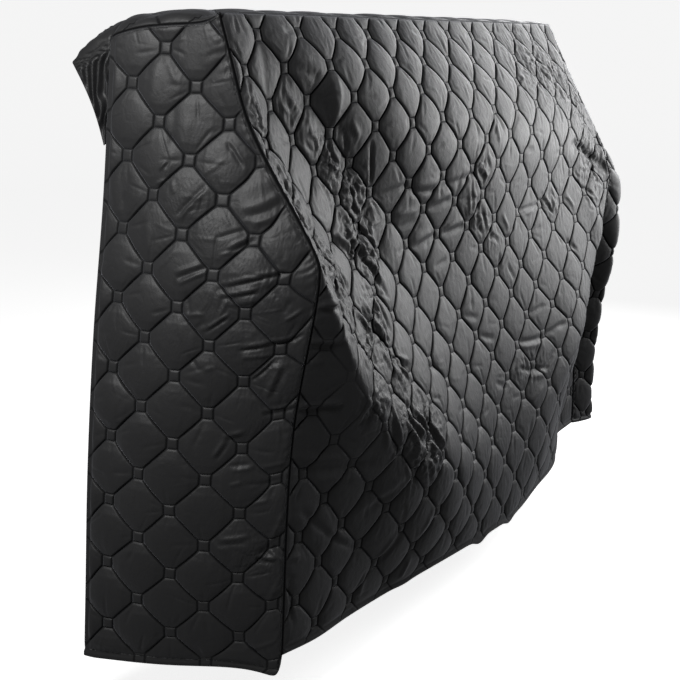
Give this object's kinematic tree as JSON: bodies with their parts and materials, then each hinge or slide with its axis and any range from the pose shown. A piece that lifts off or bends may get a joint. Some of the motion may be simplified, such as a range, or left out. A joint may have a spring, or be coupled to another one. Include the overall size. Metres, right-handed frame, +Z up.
{
  "type": "piano cover",
  "caption": "Fitted quilted cloth cover for an upright piano, draped over its front, ends and top, with a short flap behind.",
  "frame": {"origin": "middle of the top, on the inner face of its cloth, where the piano's lid holds the cover", "axes": "+X along the length, to the right seen from the front; the front faces -Y; +Z up"},
  "size_m": [1.7728, 0.5058, 1.17],
  "materials": {
    "front_cloth": "black quilted satin polyester",
    "left_side_cloth": "black quilted satin polyester",
    "right_side_cloth": "black quilted satin polyester",
    "top_cloth": "black quilted satin polyester",
    "flap_cloth": "black quilted satin polyester, gathered"
  },
  "bodies": {
    "root": {"front_panel": "front_cloth", "left_side_panel": "left_side_cloth", "right_side_panel": "right_side_cloth", "top_panel": "top_cloth", "back_flap": "flap_cloth"}
  },
  "joints": []
}
